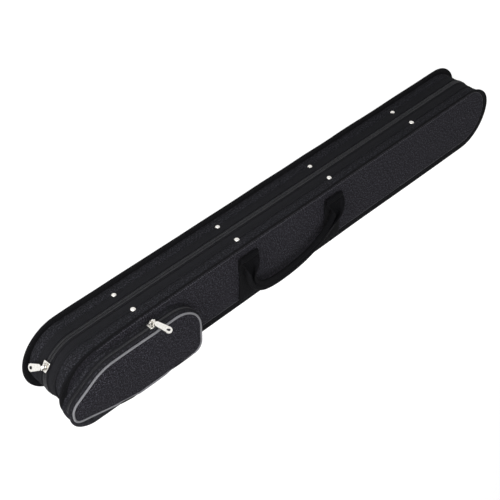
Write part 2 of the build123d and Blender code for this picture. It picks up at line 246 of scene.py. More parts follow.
def round_the_case(s, out, z):
    """A point of the case: s millimetres along the wall's outline, out from the wall, and up.

    The outline starts at the middle of the hinge side and runs to +X, round the near end, back along the zip
    side and round the far end: two straights joined by half circles.
    """
    s = np.mod(s, lap)
    first = panel_straight
    second = first + half_turn
    third = second + 2 * panel_straight
    fourth = third + half_turn
    near_turn = np.clip((s - first) / wall_radius, 0, math.pi)
    far_turn = np.clip((s - third) / wall_radius, 0, math.pi)
    angle = math.pi / 2 - near_turn - far_turn
    along = np.where(s < first, s, panel_straight)
    along = np.where(s > second, panel_straight - (s - second), along)
    along = np.where(s > third, -panel_straight, along)
    along = np.where(s > fourth, -panel_straight + (s - fourth), along)
    on_a_turn = (near_turn > 0) & (s < second) | (far_turn > 0) & (s < fourth)
    x = along + (wall_radius + out) * np.cos(angle) * on_a_turn
    y = (wall_radius + out) * np.sin(angle)
    return np.stack([x, y, z + 0 * x], -1)


def wave_noise(u, v, seed, waves=7):
    """Smooth noise, mostly from -1 to 1: a sum of a few sine waves with seeded directions and phases."""
    draw = np.random.default_rng(seed)
    total = np.zeros(np.broadcast(u, v).shape)
    for _ in range(waves):
        a, b = draw.normal(0, 1, 2)
        total = total + np.sin(a * u + b * v + draw.uniform(0, 2 * math.pi))
    return total / math.sqrt(waves)


def walked(path):
    """How far along a path each of its points is."""
    return np.concatenate([[0], np.cumsum(np.linalg.norm(np.diff(path, axis=0), axis=1))])


def unit(rows):
    """Each row of an array, scaled to a length of 1."""
    return rows / np.linalg.norm(rows, axis=1, keepdims=True)


def grid_piece(name, points, uv, material, close_u=False, close_v=False, turn_over=False):
    """A mesh from a grid of points in millimetres, with a UV map in metres, u along the first index.

    A grid whose faces would point inwards is turned over.
    """
    rows, cols = points.shape[:2]
    i = np.arange(rows if close_u else rows - 1)[:, None]
    j = np.arange(cols if close_v else cols - 1)[None, :]
    corners = [(i, j), (i + 1, j), (i + 1, j + 1), (i, j + 1)]
    if turn_over:
        corners.reverse()
    faces = np.stack([(a % rows) * cols + b % cols + 0 * i for a, b in corners], -1).reshape(-1, 4)
    mesh = bpy.data.meshes.new(name)
    mesh.from_pydata((points.reshape(-1, 3) * MM).tolist(), [], faces.tolist())
    layer = mesh.uv_layers.new(name="cloth")
    if uv is not None:
        step_u = uv[1:2, :1] - uv[:1, :1]
        wrapped = np.concatenate([uv, uv[-1:] + step_u], 0) if close_u else uv
        if close_v:
            wrapped = np.concatenate([wrapped, 2 * wrapped[:, -1:] - wrapped[:, -2:-1]], 1)
        loops = np.stack([wrapped[a + 0 * j, b + 0 * i] for a, b in corners], 2).reshape(-1, 2)
        layer.data.foreach_set("uv", (loops * MM).astype(np.float32).ravel())
    mesh.polygons.foreach_set("use_smooth", [True] * len(mesh.polygons))
    mesh.materials.append(material)
    return add_object(name, mesh)


def weld(piece, width=0.02, outwards=True):
    """Merges points that lie together, and turns all faces outwards."""
    work = bmesh.new()
    work.from_mesh(piece.data)
    bmesh.ops.remove_doubles(work, verts=work.verts, dist=width * MM)
    if outwards:
        bmesh.ops.recalc_face_normals(work, faces=work.faces)
    work.to_mesh(piece.data)
    work.free()
    return piece


def in_shell(half, points):
    """The same points in the lid, mirrored about the plane where the shells meet."""
    if half == "lid":
        points = points.copy()
        points[..., 2] = 2 * split_z - points[..., 2]
        points = points[::-1]
    return points


# Outer cover of each shell: the large flat panel. The cloth lies over foam board, crowned by a millimetre
# or so, and dips where it is sewn in under the binding.
def edge_reach(half, s):
    """How far the binding stands out from the wall.

    9 mm, and on the lid it narrows to 1.5 mm on the zip side.
    """
    half_width = 52.0
    if half == "base":
        return half_width - wall_radius + 0 * s
    angle = np.pi / 2 - np.clip((s - panel_straight) / wall_radius, 0, np.pi)
    far = np.clip((s - 3 * panel_straight - half_turn) / wall_radius, 0, np.pi)
    angle = angle - far
    narrow = wall_radius + 1.5
    oval = 1 / np.sqrt((np.cos(angle) / half_width) ** 2 + (np.sin(angle) / narrow) ** 2)
    return np.where(np.sin(angle) < 0, oval, half_width) - wall_radius


def rim_lift(half, s):
    """How far the lid's rim turns up round the pocket: most at the near end and its zip side corner."""
    if half == "base":
        return 0 * s
    place = round_the_case(s, 0 * s, 0 * s)
    hinge_side = np.clip(place[..., 1] / wall_radius, 0, 1)
    return 4.2 * np.exp(-(((place[..., 0] - 378) / 55) ** 2)) * (1 - 0.75 * hinge_side)


def crown(half, x, y, depth):
    """Height of the panel's cloth over its seam.

    A quick rise at the edge, then almost flat, with slow waves.
    """
    rise = 1 - np.exp(-depth / 5.0)
    waves = 0.22 * wave_noise(x / 38, y / 16, 3) * np.clip(depth / 12, 0, 1)
    if half == "base":
        return 0.35 * rise
    swell = 1.6 * np.exp(-(((x - 330) / 70) ** 2)) * np.clip(depth / 14, 0, 1)
    return 1.1 * rise + waves + 0.3 * swell


s_line = np.arange(0, lap, 3.0)
seam_inset = 0.4
for half in ("base", "lid"):
    inward = np.concatenate([[0, 0.6, 1.4, 2.6, 4.2, 6.5], np.linspace(10, wall_radius - seam_inset, 9)])
    s, depth = np.meshgrid(s_line, inward, indexing="ij")
    flat = round_the_case(s, -seam_inset - depth, 0 * s)
    height = crown(half, flat[..., 0], flat[..., 1], depth)
    # The base panel is drawn just off the floor, where the case rests on it, and rises to its seam.
    flat[..., 2] = 0.75 - height if half == "base" else 1.2 - height
    flat[..., 2] -= rim_lift(half, s) * np.exp(-(depth / 9.0))
    points = in_shell(half, flat)
    uv = points[..., :2]
    panel = weld(grid_piece(f"{half}_panel_cloth", points, uv, oxford, close_u=True), outwards=False)
    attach(panel, half)
    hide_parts(f"{half}_cover_panel")


# Gusset of each shell: a strip of the same cloth round the wall, sewn into the binding at one edge and to
# the zip tape or the hinge at the other. Its copy of the cloth has darker flecks, painted shade that makes
# the walls darker than the panels. It is padded with thin foam and swells a little between its seams.
def wall_swell(s, z):
    """How far the gusset stands out.

    A low arch between the seams, fuller at the near end, with soft puckers.
    """
    x = round_the_case(s, 0, z)[..., 0]
    arch = np.sin(np.clip(z / 15.0, 0, 1) * math.pi) ** 0.8
    fuller = 1.0 + 1.1 * np.exp(-(((x - 350) / 45) ** 2)) + 0.5 * np.exp(-(((x + 370) / 40) ** 2))
    puckers = 0.30 * wave_noise(s / 9.0, z / 14.0, 11) + 0.25 * wave_noise(s / 34.0, z / 20.0, 12)
    return arch * (0.75 * fuller + puckers)


for half in ("base", "lid"):
    heights = np.concatenate([np.linspace(2.6, 15.5, 12), [17, 20, 24, 28, 31, 32.4, 32.8]])
    s, z = np.meshgrid(s_line, heights, indexing="ij")
    tuck = -0.9 * np.exp(-(((z - 15.4) / 1.1) ** 2)) - 0.8 * (z < 3.0)
    lifted = z - rim_lift(half, s) * np.clip(1.2 - z / 14.0, 0, 1)
    points = in_shell(half, round_the_case(s, wall_swell(s, z) + tuck, lifted))
    uv = np.stack([s, z], -1)
    gusset = grid_piece(f"{half}_gusset_cloth", points, uv, shaded_gusset_oxford, close_u=True, turn_over=True)
    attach(gusset, half)
    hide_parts(f"{half}_gusset_fabric")


# Edge binding: a ribbed tape folded over the raw edges of panel and gusset and sewn through, so that it
# stands out from the panel as a flat flange with a full, slightly wavy rim.
def ribbed_tape(name, code, rib_mm, relief, roughness=0.7, sheen=0.01, gloss=0.01):
    """Woven tape with ribs across it, spaced along the length of its UV map, and an uneven dye."""
    material, tree, surface = new_material(name, roughness, sheen, gloss=gloss)
    place = add_node(tree, "ShaderNodeUVMap", {"uv_map": "cloth"}).outputs[0]
    per_metre = 1.0 / (rib_mm * MM)
    ribs = add_node(
        tree,
        "ShaderNodeTexWave",
        {"bands_direction": "X"},
        Vector=place,
        Scale=per_metre / wave_bands,
        Distortion=0.5,
        Detail=1.0,
    )
    grain = add_node(tree, "ShaderNodeTexNoise", Vector=place, Scale=per_metre, Detail=3.0)
    colour = mixed(tree, grain.outputs["Fac"], tinted(code, 0.7), tinted(code, 1.4))
    tree.links.new(colour, surface.inputs["Base Color"])
    height = add_node(
        tree, "ShaderNodeMath", {"operation": "ADD"}, _0=ribs.outputs["Fac"], _1=grain.outputs["Fac"]
    )
    add_bump(tree, surface, relief, yarn_relief, height.outputs[0])
    return material


# The real ribs are 0.9 mm apart. They are drawn 1.6 mm apart so that they show.
binding_tape = ribbed_tape("black_grosgrain_binding", "19191b", 1.6, 0.8)
binding_thick = 3.2
binding_root = -2.2
around = np.linspace(0, 2 * math.pi, 21)[:-1]
for half in ("base", "lid"):
    s, turn = np.meshgrid(s_line, around, indexing="ij")
    reach = edge_reach(half, s) + 0.35 * wave_noise(s / 30, 0 * s, 21 + len(half))
    width = reach - binding_root
    # The section is a long rounded bar: full at the rim, pinched along its sewing line, thin at the root.
    along = (1 + np.sign(np.cos(turn)) * np.abs(np.cos(turn)) ** 0.7) / 2
    fullness = 0.55 + 0.5 * along**1.5 - 0.3 * np.exp(-(((along - 0.32) / 0.1) ** 2))
    side = np.sign(np.sin(turn)) * np.abs(np.sin(turn)) ** 0.6
    waver = 0.25 * wave_noise(s / 22, 0 * s, 31 + len(half)) * along
    z = binding_thick / 2 + 0.2 + binding_thick / 2 * fullness * side + np.where(reach > 3, waver, 0) * 0.5
    z = np.maximum(z, 0.05) - rim_lift(half, s)
    points = in_shell(half, round_the_case(s, binding_root + width * along, z))
    uv = np.stack([s, turn * 3.5], -1)
    binding = grid_piece(f"{half}_edge_binding", points, uv, binding_tape, True, True, turn_over=True)
    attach(binding, half)
    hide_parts(f"{half}_binding")


# Stitching. Black polyester thread, lockstitched about 3.5 mm a stitch, along the binding's sewing line. On
# the lid's zip side a row of pale grey stitches runs on the panel; their pale colour is painted highlight,
# the glints where light catches the panel's rounded edge. Each stitch is a short bent bar half sunk in the
# cloth.
def stitch_row(name, body, starts, ends, ups, material, thick=0.55, lift=0.35):
    """One mesh of stitches: each is a bar of six sides and five rings, arched up between its two holes."""
    starts, ends, ups = (np.asarray(a, float) for a in (starts, ends, ups))
    along = np.linspace(0, 1, 5)
    turn = np.linspace(0, 2 * math.pi, 7)[:-1]
    run = ends - starts
    side = np.cross(unit(run), ups)
    t = along[None, :, None, None]
    a = turn[None, None, :, None]
    arch = np.sin(math.pi * t)
    radius = thick / 2 * (0.35 + 0.65 * arch)
    centre = starts[:, None, None] + run[:, None, None] * t + ups[:, None, None] * (lift * arch - 0.15)
    points = centre + radius * (np.cos(a) * side[:, None, None] + np.sin(a) * ups[:, None, None])
    count = len(starts)
    k = np.arange(count)[:, None, None] * 30
    i = np.arange(4)[None, :, None] * 6
    j = np.arange(6)[None, None, :]
    n = (j + 1) % 6
    faces = np.stack([k + i + 6 + j, k + i + 6 + n, k + i + n, k + i + j], -1).reshape(-1, 4)
    mesh = bpy.data.meshes.new(name)
    caps = [[c * 30 + e for e in order] for c in range(count) for order in (range(6), range(29, 23, -1))]
    mesh.from_pydata((points.reshape(-1, 3) * MM).tolist(), [], faces.tolist() + caps)
    mesh.materials.append(material)
    piece = add_object(name, mesh)
    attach(piece, body)
    return piece


def thread_material(name, code, roughness=0.5):
    """Twisted polyester thread: slightly glossy, with uneven tone from Object coordinates."""
    material, tree, surface = new_material(name, roughness, gloss=0.1)
    place = add_node(tree, "ShaderNodeTexCoord").outputs["Object"]
    twist = add_node(tree, "ShaderNodeTexNoise", Vector=place, Scale=900.0, Detail=2.0)
    colour = mixed(tree, twist.outputs["Fac"], tinted(code, 0.6), linear(code))
    tree.links.new(colour, surface.inputs["Base Color"])
    return material


black_thread = thread_material("black_polyester_thread", "121214")
# The pale grey thread paints a highlight: the glints where light catches the lid panel's rounded zip-side
# edge.
glint_thread = thread_material("glint_painted_polyester_thread", "6e6e74")
stitch_length = 3.4


def row_round_case(half, s, out, z, normal):
    """Starts, ends and normals of the stitches at places on the outline, out from the wall and up."""
    low = z - rim_lift(half, s) * (normal == "up")
    start = round_the_case(s, out, low)
    end = round_the_case(s + stitch_length * 0.72, out, low)
    if normal == "up":
        ups = np.zeros_like(start) + (0, 0, -1.0)
    else:
        ups = round_the_case(s, 1.0, z) - round_the_case(s, 0.0, z)
    if half == "lid":
        for a in (start, end):
            a[:, 2] = 2 * split_z - a[:, 2]
        ups[:, 2] *= -1
    return start, end, ups


s = np.arange(0, lap, stitch_length)
for half in ("base", "lid"):
    sewing_line = binding_root + 0.35 * (edge_reach(half, s) - binding_root)
    starts, ends, ups = row_round_case(half, s, sewing_line, 0.72, "up")
    stitch_row(f"{half}_binding_stitches", half, starts, ends, ups, black_thread)
# Pale grey stitches along the lid's zip side, a painted highlight on the panel's rounded edge.
zip_side_from = panel_straight + half_turn
s = np.arange(zip_side_from + 6, zip_side_from + 2 * panel_straight - 6, stitch_length)
starts, ends, ups = row_round_case("lid", s, -3.4, 0.55, "up")
stitch_row("lid_edge_glint_stitches", "lid", starts, ends, ups, glint_thread, thick=0.5)


# Zip tapes: woven herringbone tape 17 mm wide on each side of the teeth, sewn on the gusset along the zip
# side and round both ends. Its outer edge is a folded hem, and a raised fold of it guards the teeth.
zip_tape_cloth = ribbed_tape("black_zip_tape", "252528", 1.4, 0.9, 0.72, 0.01, 0.015)
zip_wrap = math.radians(60.0)
zip_from = panel_straight + wall_radius * (math.pi / 2 - zip_wrap)
zip_to = lap - zip_from
zip_line = np.linspace(zip_from, zip_to, 420)
tape_profile = np.array(
    [
        (15.9, -0.6),
        (15.95, 0.9),
        (16.4, 1.35),
        (17.6, 1.2),
        (18.6, 0.8),
        (20.0, 0.95),
        (22.5, 1.15),
        (25.0, 1.35),
        (26.2, 1.6),
        (26.8, 1.5),
        (27.0, 0.2),
        (27.1, -0.9),
        (27.9, -0.9),
        (28.0, 0.2),
        (28.2, 1.1),
        (29.0, 1.2),
        (30.0, 1.0),
        (31.0, 0.75),
        (32.4, 0.8),
        (32.7, 0.4),
    ]
)
for half in ("base", "lid"):
    s, z = np.meshgrid(zip_line, tape_profile[:, 0], indexing="ij")
    out = tape_profile[:, 1] + 0.12 * wave_noise(s / 14, z / 5, 41 + len(half)) * (tape_profile[:, 1] > 0.9)
    points = in_shell(half, round_the_case(s, out, z))
    uv = np.stack([s, z], -1)
    tape = grid_piece(f"{half}_zip_tape_cloth", points, uv, zip_tape_cloth, turn_over=True)
    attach(tape, half)
    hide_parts(f"{half}_zip_tape")
    s = np.arange(zip_from + 2, zip_to - 4, stitch_length)
    rows = [row_round_case(half, s, 1.15, z_row, "out") for z_row in (18.6, 25.6)]
    starts, ends, ups = (np.concatenate(a) for a in zip(*rows))
    stitch_row(
        f"{half}_zip_stitches", half, starts, ends, ups, black_thread, thick=0.45, lift=0.2
    )


# Zip coil: a nylon monofilament wound in a flat spiral and sewn on the inner edge of each tape, with its
# turns interlocking with those of the other half.
def satin_nylon(name, code, roughness):
    """Smooth extruded nylon, satin, with very fine scuffs."""
    material, tree, surface = new_material(name, roughness)
    place = add_node(tree, "ShaderNodeTexCoord").outputs["Object"]
    scuffs = add_node(tree, "ShaderNodeTexNoise", Vector=place, Scale=1400.0, Detail=4.0)
    rough = add_node(
        tree, "ShaderNodeMapRange", _0=scuffs.outputs["Fac"], _3=roughness - 0.1, _4=roughness + 0.15
    )
    tree.links.new(rough.outputs[0], surface.inputs["Roughness"])
    add_bump(tree, surface, 0.15, 0.0001, scuffs.outputs["Fac"])
    surface.inputs["Base Color"].default_value = linear(code)
    return material


coil_nylon = satin_nylon("black_nylon_coil", "2a2a2d", 0.35)


def coil_mesh(name, centre_line, across, out_dir, pitch, width, height, wire):
    """A flat spiral of five-sided wire.

    It winds on an ellipse, width by height, round the centre line, and goes round once each pitch.
    """
    per_turn = 8
    length = walked(centre_line)
    turns = int(length[-1] / pitch)
    t = np.linspace(0, length[-1], turns * per_turn + 1)
    centre, side, out = (
        np.stack([np.interp(t, length, values[:, k]) for k in range(3)], -1)
        for values in (centre_line, across, out_dir)
    )
    angle = (2 * math.pi * np.arange(len(t)) / per_turn)[:, None]
    path = centre + side * (width / 2 - wire / 2) * np.cos(angle)
    path = path + out * (height / 2 - wire / 2) * np.sin(angle)
    ahead = unit(np.gradient(path, axis=0))
    outward = side * np.cos(angle) + out * np.sin(angle)
    outward = unit(outward - ahead * np.sum(outward * ahead, 1, keepdims=True))
    flank = np.cross(ahead, outward)
    turn = np.linspace(0, 2 * math.pi, 6)[:-1][None, :, None]
    points = path[:, None] + wire / 2 * (np.cos(turn) * outward[:, None] + np.sin(turn) * flank[:, None])
    return grid_piece(name, points, None, coil_nylon, close_v=True, turn_over=True)


coil_line = np.linspace(zip_from, zip_to, 700)
coil_pitch = 1.6
for half in ("base", "lid"):
    # The two spirals overlap by a wire's width at the middle, half a pitch apart, as interlocked turns do.
    centre = round_the_case(coil_line + (half == "lid") * coil_pitch / 2, 1.75, 31.3)
    out = round_the_case(coil_line, 2.0, 0.0) - round_the_case(coil_line, 1.0, 0.0)
    across = np.zeros_like(centre) + (0, 0, 1.0)
    if half == "lid":
        centre[:, 2] = 2 * split_z - centre[:, 2]
    coil = coil_mesh(f"{half}_coil", centre, across, out, coil_pitch, 3.3, 1.8, 0.75)
    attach(coil, half)
    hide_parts(f"{half}_zip_coil")


# Cloth hinge: one strip of the zip tape's cloth sewn to both gussets along the hinge side. On the case it
# folds where the shells meet; here it is drawn flat and is attached to neither shell.
hinge_half = panel_straight - 6.0
x = np.linspace(-hinge_half, hinge_half, 240)
hinge_low, hinge_high = 15.0, 51.0
rise = np.concatenate(
    [[hinge_low, 15.02, 15.6, 17.0], np.linspace(19, 47, 29), [49.0, 50.4, 50.98, hinge_high]]
)
x, rise = np.meshgrid(x, rise, indexing="ij")
hem = np.minimum(np.abs(rise - hinge_low), np.abs(rise - hinge_high))
out = 0.05 + 0.55 * np.clip(hem / 0.5, 0, 1) + 0.35 * np.exp(-(((hem - 1.3) / 0.9) ** 2))
out = out + 0.12 * wave_noise(x / 20, rise / 7, 51)
front = np.stack([x, wall_radius + out, rise], -1)
back = np.stack([x, wall_radius + 0 * out - 0.1, rise], -1)[:, ::-1]
points = np.concatenate([front, back], 1)
uv = np.concatenate([np.stack([x, rise], -1), np.stack([x, rise], -1)[:, ::-1]], 1)
for end in (0, -1):
    # The ends are hemmed shut, all points of the last ring on the gusset's face.
    points[end, :, 1] = wall_radius - 0.1
    points[end, len(rise[0]) :] = points[end, : len(rise[0])][::-1]
hinge = grid_piece("cloth_hinge", points, uv, zip_tape_cloth, close_v=True)
weld(hinge)
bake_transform(hinge)
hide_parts("base_hinge_tape", "lid_hinge_tape")


# Lining: short-pile black plush glued to the foam as a tray, carried up the wall and folded over its lip.
def plush_material(name, code, tip_code):
    """Short pile: a soft clumped nap with paler tips and strong sheen at glancing angles."""
    material, tree, surface = new_material(name, 0.95, 0.25, gloss=0.05)
    surface.inputs["Sheen Tint"].default_value = linear(tip_code)
    place = add_node(tree, "ShaderNodeTexCoord").outputs["Object"]
    clumps = add_node(tree, "ShaderNodeTexNoise", Vector=place, Scale=260.0, Detail=5.0, Roughness=0.7)
    sweep = add_node(tree, "ShaderNodeTexNoise", Vector=place, Scale=22.0, Detail=3.0)
    tone = add_node(
        tree, "ShaderNodeMath", {"operation": "MULTIPLY"}, _0=clumps.outputs["Fac"], _1=sweep.outputs["Fac"]
    )
    tone = add_node(tree, "ShaderNodeMapRange", _0=tone.outputs[0], _1=0.05, _2=0.5)
    colour = mixed(tree, tone.outputs[0], linear(code), linear(tip_code))
    tree.links.new(colour, surface.inputs["Base Color"])
    add_bump(tree, surface, 0.8, 0.0006, clumps.outputs["Fac"])
    return material


plush = plush_material("black_plush_pile", "1b1b1f", "3d3c44")
lining_inset = 7.2
lining_floor = 7.2
corner_radius = 4
for half in ("base", "lid"):
    floor_in = np.linspace(wall_radius, lining_inset + corner_radius, 10)
    corner_turn = np.linspace(0, math.pi / 2, 6)[1:]
    corner = lining_inset + corner_radius * (1 - np.sin(corner_turn))
    corner_z = lining_floor + corner_radius * (1 - np.cos(corner_turn))
    wall_z = np.linspace(13, 31.4, 8)
    lip_in = np.array([7.0, 6.4, 5.0, 3.2, 1.6, 0.9])
    lip_z = np.array([32.0, 32.45, 32.62, 32.62, 32.45, 31.8])
    profile_in = np.concatenate([floor_in, corner, 0 * wall_z + lining_inset, lip_in])
    profile_z = np.concatenate([lining_floor + 0 * floor_in, corner_z, wall_z, lip_z])
    s, inset = np.meshgrid(s_line, profile_in, indexing="ij")
    nap = 0.18 * wave_noise(s / 11, profile_z / 6 + inset / 9, 61) * ((profile_z > 8) & (profile_z < 31))
    points = round_the_case(s, -inset + nap, profile_z + 0 * s)
    points[..., 2] += 0.15 * wave_noise(points[..., 0] / 15, points[..., 1] / 9, 62) * (profile_z < 7.5)
    uv = np.stack([s, np.cumsum(np.abs(np.gradient(profile_in))) + 0 * s], -1)
    points = in_shell(half, points)[::-1]
    tray = grid_piece(f"{half}_plush_tray", points, uv, plush, close_u=True, turn_over=True)
    weld(tray, outwards=False)
    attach(tray, half)
    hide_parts(f"{half}_lining")


# Head blocks: foam bars across the far end, cut with two slots for the bow heads and covered in the same
# plush. The cover rounds every edge, so each is a softened copy of its cut foam.
def softened(node, name, voxel, rounds, material):
    """A copy of a CAD node with its edges rounded by a fine remesh and smoothing, then applied."""
    piece = add_object(name, frame["nodes"][node].data.copy())
    weld(piece, 0.01)
    piece.data.materials.clear()
    remesh = piece.modifiers.new("remesh", "REMESH")
    remesh.mode = "VOXEL"
    remesh.voxel_size = voxel * MM
    relax = piece.modifiers.new("relax", "SMOOTH")
    relax.iterations = rounds
    bpy.context.view_layer.update()
    mesh = bpy.data.meshes.new_from_object(piece.evaluated_get(bpy.context.evaluated_depsgraph_get()))
    piece.modifiers.clear()
    piece.data = mesh
    mesh.materials.clear()
    mesh.materials.append(material)
    mesh.polygons.foreach_set("use_smooth", [True] * len(mesh.polygons))
    return piece


for half in ("base", "lid"):
    block = softened(f"{half}_head_block", f"{half}_head_cushion", 1.2, 3, plush)
    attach(block, half)
    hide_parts(f"{half}_head_block")


# Foam inside the walls and panels: closed-cell board, cut and glued. It only shows as an edge inside the
# fabric.
foam, tree, surface = new_material("grey_closed_cell_foam", 0.9)
place = add_node(tree, "ShaderNodeTexCoord").outputs["Object"]
cells = add_node(tree, "ShaderNodeTexVoronoi", Vector=place, Scale=700.0)
shade = mixed(tree, cells.outputs["Distance"], linear("4a4a4c"), linear("66666a"))
tree.links.new(shade, surface.inputs["Base Color"])
add_bump(tree, surface, 0.4, 0.0002, cells.outputs["Distance"])


# Hardware. Rivets, sliders, pulls, end stops and pivot pins are pressed or die-cast metal with bright
# nickel plate; the bow holders are injection-moulded ABS with a fine satin grain.
nickel, tree, surface = new_material("bright_nickel_plate", 0.2, metallic=1.0)
place = add_node(tree, "ShaderNodeTexCoord").outputs["Object"]
polish = add_node(tree, "ShaderNodeTexNoise", Vector=place, Scale=420.0, Detail=5.0)
rough = add_node(tree, "ShaderNodeMapRange", _0=polish.outputs["Fac"], _3=0.1, _4=0.34)
tree.links.new(rough.outputs[0], surface.inputs["Roughness"])
tint = mixed(tree, polish.outputs["Fac"], linear("c9c6bf"), linear("efedea"))
tree.links.new(tint, surface.inputs["Base Color"])
add_bump(tree, surface, 0.12, 0.0002, polish.outputs["Fac"])

moulded_abs, tree, surface = new_material("black_moulded_abs", 0.45)
place = add_node(tree, "ShaderNodeTexCoord").outputs["Object"]
grain = add_node(tree, "ShaderNodeTexNoise", Vector=place, Scale=1100.0, Detail=3.0)
surface.inputs["Base Color"].default_value = linear("202023")
rough = add_node(tree, "ShaderNodeMapRange", _0=grain.outputs["Fac"], _3=0.38, _4=0.6)
tree.links.new(rough.outputs[0], surface.inputs["Roughness"])
add_bump(tree, surface, 0.25, 0.0001, grain.outputs["Fac"])

cad_finish = {
    "stiff_foam": foam,
    "nickel_plate": nickel,
    "moulded_plastic": moulded_abs,
    "oxford_fabric": oxford,
    "binding_tape": binding_tape,
    "plush_lining": plush,
    "zip_tape": zip_tape_cloth,
    "zip_coil": coil_nylon,
}
for row in frame["record"]["subparts"]:
    node = frame["nodes"][row["node"]]
    node.data.materials.clear()
    node.data.materials.append(cad_finish.get(row["material_slot"], oxford))


# Pocket: a pouch of oxford at the near end of the lid. Its face is a padded panel with a light grey piped
# edge, and its wall is a gusset with a coil zip along the near end, the zip side and the far end.
pocket_corners = [
    (195.5, -29.5, 42.0),
    (349.0, -29.5, 60.0),
    (396.0, 4.5, 18.0),
    (396.0, 49.0, 34.0),
    (195.5, 49.0, 16.0),
]

# The face is sewn to a smaller outline, cut back at the near corner of the hinge side, where the pouch sags.
front_corners = [
    (199.0, -26.5, 38.0),
    (348.0, -26.5, 52.0),
    (394.5, 5.0, 16.0),
    (391.0, 31.0, 13.0),
    (305.0, 50.0, 60.0),
    (199.5, 50.5, 14.0),
]
outline_count = 270


def rounded_outline(corners, count_here):
    """A closed outline through rounded corners, as evenly spaced points and their outward normals."""
    places = np.array([(x, y) for x, y, radius in corners])
    runs = []
    for k, (x, y, radius) in enumerate(corners):
        here = places[k]
        before = places[k - 1] - here
        after = places[(k + 1) % len(corners)] - here
        before, after = before / np.linalg.norm(before), after / np.linalg.norm(after)
        half_angle = math.acos(np.clip(before @ after, -1, 1)) / 2
        back = radius / math.tan(half_angle)
        middle = here + (before + after) / np.linalg.norm(before + after) * radius / math.sin(half_angle)
        first = here + before * back - middle
        sweep = math.pi - 2 * half_angle
        angles = np.linspace(0, sweep, max(3, int(radius * sweep)))
        c, s = np.cos(angles), np.sin(angles)
        runs.append(middle + np.stack([c * first[0] - s * first[1], s * first[0] + c * first[1]], -1))
    line = np.concatenate(runs + [runs[0][:1]])
    length = walked(line)
    even = np.linspace(0, length[-1], count_here + 1)[:-1]
    points = np.stack([np.interp(even, length, line[:, k]) for k in range(2)], -1)
    for _ in range(3):
        points = (np.roll(points, 1, 0) + 2 * points + np.roll(points, -1, 0)) / 4
    ahead = unit(np.roll(points, -1, 0) - np.roll(points, 1, 0))
    return points, np.stack([ahead[:, 1], -ahead[:, 0]], -1)


pocket_line, pocket_out = rounded_outline(pocket_corners, outline_count)
front_line, front_out = rounded_outline(front_corners, outline_count)
pocket_walk = np.arange(outline_count) * 2.0
pocket_top = 86.0
pocket_zip_z = 76.0


def seam_sag(x, y):
    """How far the face's seam drops at the near corner of the hinge side."""
    return 2.6 * np.exp(-(((x - 385) / 40) ** 2) - ((y - 36) / 22) ** 2)


def seam_hidden(line, facing):
    """Where the wall rolls over the piping on the hinge side, from 0 to 1: two stretches of the seam."""
    rolls = np.exp(-(((line[:, 0] - 230) / 22) ** 4)) + np.exp(-(((line[:, 0] - 317) / 14) ** 4))
    return rolls * np.clip(facing[:, 1] * 3 - 1.5, 0, 1)


def pocket_place(out, z):
    """Points of the pouch for a grid of distances out from its outline and heights.

    The wall stands straight up to the zip and then leans in to the face's smaller outline.
    """
    lean = np.clip((z - 79.5) / 5.0, 0, 1)
    lean = (lean * lean * (3 - 2 * lean))[..., None]
    line = pocket_line[:, None] * (1 - lean) + front_line[:, None] * lean
    facing = pocket_out[:, None] * (1 - lean) + front_out[:, None] * lean
    flat = line + facing * out[..., None]
    z = z - seam_sag(flat[..., 0], flat[..., 1]) * np.clip((z - 72.0) / 12.0, 0, 1)
    return np.concatenate([flat, z[..., None]], -1)


# The wall bellies between the lid and the zip, and again between the zip and the piped seam.
zip_heights = [73.8, 74.4, 76.0, 77.6, 78.2]
wall_heights = np.concatenate([np.linspace(66.4, 73.2, 7), zip_heights, np.linspace(78.8, 85.0, 6)])
walk, z = np.meshgrid(pocket_walk, wall_heights, indexing="ij")
belly = 1.1 * np.sin(np.clip((z - 66.0) / 7.6, 0, 1) * math.pi)
belly = belly + 0.6 * np.sin(np.clip((z - 78.4) / 7.0, 0, 1) * math.pi)
pucker = 0.35 * wave_noise(walk / 5.0, z / 6.0, 71) * np.sin(np.clip((z - 66) / 20, 0, 1) * math.pi)
channel = -0.5 * ((z > 74.0) & (z < 78.0))
# On the hinge side nothing holds the wall, so it slumps outwards past the piping near the end.
slump = np.clip(pocket_out[:, 1], 0, 1) * np.clip((pocket_line[:, 0] - 285) / 60, 0, 1)
slump = slump[:, None] * 5.5 * np.exp(-(((z - 80.0) / 5.5) ** 2))
# Its foot spreads towards the lid's turned-up rim at the slope.
foot = np.clip(-pocket_out[:, 1] + 0.3, 0, 1) * np.clip((pocket_line[:, 0] - 325) / 30, 0, 1)
foot = foot[:, None] * 3.5 * np.exp(-(((z - 67.0) / 4.0) ** 2))
hidden = seam_hidden(front_line, front_out)[:, None] * np.clip((z - 80.0) / 5.0, 0, 1)
points = pocket_place(
    belly + pucker * (np.abs(z - pocket_zip_z) > 3.2) + channel + slump + foot, z + 1.2 * hidden
)
# Its cloth's darker flecks are painted shade, as on the case's gussets.
gusset = grid_piece("pocket_gusset", points, np.stack([walk, z], -1), shaded_gusset_oxford, close_u=True)
weld(gusset)
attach(gusset, "lid")
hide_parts("pocket_wall")

# The face shrinks ring by ring to a line down its middle; the crown is highest there and has slow dents.
spine = np.clip((front_line[:, :1] - 225.0) / (370.0 - 225.0), 0, 1)
spine = np.concatenate([232.0 + 128.0 * spine, 12.0 + 4.0 * spine], 1)
share = np.concatenate([[0, 0.02, 0.05, 0.09, 0.15], np.linspace(0.22, 1, 14)])
flat = front_line[:, None] * (1 - share[None, :, None]) + spine[:, None] * share[None, :, None]
rise = 3.6 * (1 - (1 - share) ** 2.2)
dents = wave_noise(flat[..., 0] / 26, flat[..., 1] / 17, 72) * np.clip(share * 4, 0, 1)
height = pocket_top - 1.0 + rise + 0.55 * dents - seam_sag(flat[..., 0], flat[..., 1])
points = np.concatenate([flat, height[..., None]], -1)
face = grid_piece("pocket_front", points, points[..., :2], oxford, close_u=True)
weld(face, 0.4)
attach(face, "lid")
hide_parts("pocket_face")

